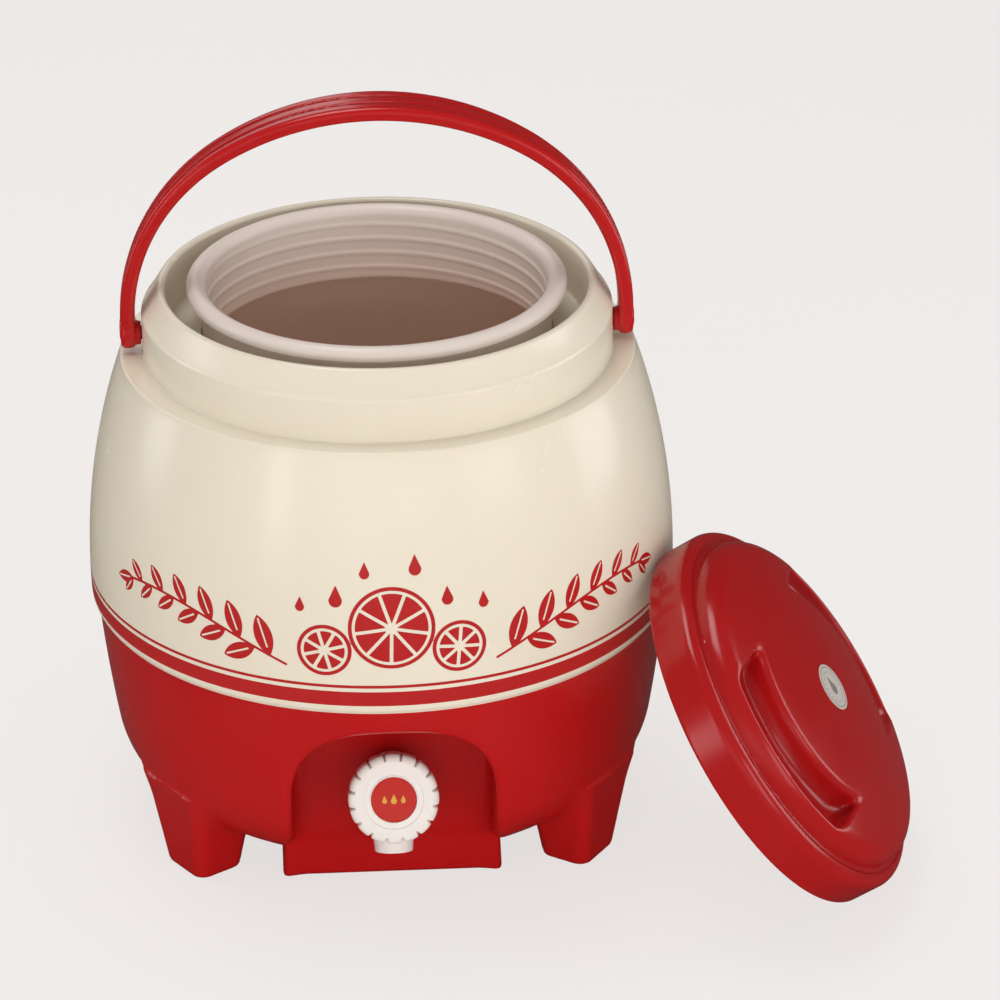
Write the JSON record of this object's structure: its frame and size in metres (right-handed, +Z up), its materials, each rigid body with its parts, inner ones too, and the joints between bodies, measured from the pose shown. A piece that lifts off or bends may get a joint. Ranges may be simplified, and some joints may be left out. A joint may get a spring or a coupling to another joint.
{
  "type": "insulated water jug",
  "caption": "Barrel-shaped insulated water jug with bail handle, front push-turn tap in a niche, moulded feet and an open mouth; its screw-in lid leans against the side.",
  "frame": {"origin": "on the floor plane that the feet stand on, at the jug's vertical axis", "axes": "+Z up; -Y towards the tap (the jug's front); +X to the right seen from the front, where the lid leans"},
  "size_m": [0.4823, 0.391, 0.4514],
  "materials": {
    "ivory_plastic": "glossy",
    "red_plastic": "glossy",
    "white_liner": "satin",
    "foam": "matte",
    "white_plastic": "glossy",
    "seal_rubber": "matte",
    "steel": "satin",
    "silver_film": "satin"
  },
  "bodies": {
    "jug": {"shell_upper": "ivory_plastic", "shell_lower": "red_plastic", "inner_liner": "white_liner", "foam_core": "foam", "fill_plug": "red_plastic", "pivot_cups": "ivory_plastic", "tap_body": "white_plastic", "tap_gasket_outer": "seal_rubber", "tap_gasket_inner": "seal_rubber", "tap_spacer": "white_plastic", "tap_back_nut": "white_plastic", "tap_bonnet": "white_plastic", "stem_oring": "seal_rubber"},
    "handle": {"handle_bail": "red_plastic"},
    "stem": {"tap_stem": "white_plastic", "tap_seal": "seal_rubber"},
    "knob": {"tap_knob": "white_plastic", "knob_screw": "steel", "knob_cap": "red_plastic"},
    "lid": {"lid_cover": "red_plastic", "lid_plug": "white_liner", "lid_foam": "foam", "lid_gasket": "seal_rubber", "lid_label": "silver_film"}
  },
  "joints": [
    {"name": "handle_swing", "type": "hinge", "parent": "jug", "child": "handle", "pos_m": [0, 0, 0.311], "axis": [1, 0, 0], "range_deg": [-72, 72]},
    {"name": "stem_lift", "type": "slide", "parent": "jug", "child": "stem", "axis": [0, -0.9397, 0.342], "range_m": [0, 0.003]},
    {"name": "knob_turn", "type": "hinge", "parent": "stem", "child": "knob", "pos_m": [0, -0.118, 0.068], "axis": [0, -0.9397, 0.342], "range_deg": [0, 180]},
    {"name": "lid_lift_off", "type": "slide", "parent": "jug", "child": "lid", "axis": [0.7948, -0.1984, 0.5736], "range_m": [0, 0.25]}
  ],
  "couplings": [
    {"joint": "stem_lift", "follows": "knob_turn", "m_per_rad": 0.00095493}
  ]
}
